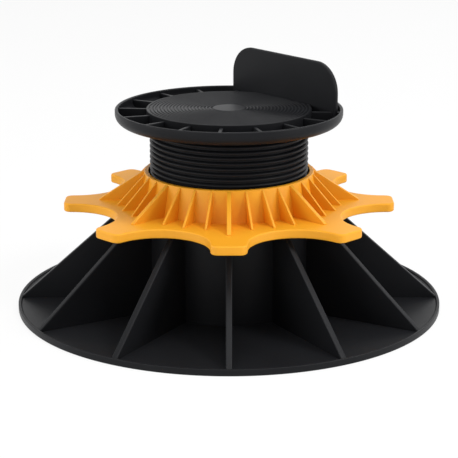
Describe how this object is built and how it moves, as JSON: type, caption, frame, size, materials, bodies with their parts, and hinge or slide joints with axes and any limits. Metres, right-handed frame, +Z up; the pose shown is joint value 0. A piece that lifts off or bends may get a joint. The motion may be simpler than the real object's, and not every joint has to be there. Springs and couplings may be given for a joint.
{
  "type": "adjustable decking pedestal",
  "caption": "Round ribbed plastic pedestal whose lobed ring nut raises and lowers a threaded head that carries a deck joist against an upright tab.",
  "frame": {"origin": "middle of the base's underside", "axes": "+Z up along the screw's axis, -Y towards the side seen in the picture"},
  "size_m": [0.2, 0.2, 0.1155],
  "materials": {
    "black_plastic": "satin moulded",
    "orange_plastic": "satin moulded"
  },
  "bodies": {
    "base": {"base": "black_plastic"},
    "nut": {"ring_nut": "orange_plastic"},
    "head": {"head": "black_plastic"}
  },
  "joints": [
    {"name": "nut_turn", "type": "hinge", "parent": "base", "child": "nut", "pos_m": [0, 0, 0.0462], "axis": [0, 0, 1], "range_deg": [-2880, 2880]},
    {"name": "head_lift", "type": "slide", "parent": "base", "child": "head", "axis": [0, 0, 1], "range_m": [-0.02, 0.02]}
  ],
  "couplings": [
    {"joint": "head_lift", "follows": "nut_turn", "m_per_rad": 0.00039789}
  ]
}
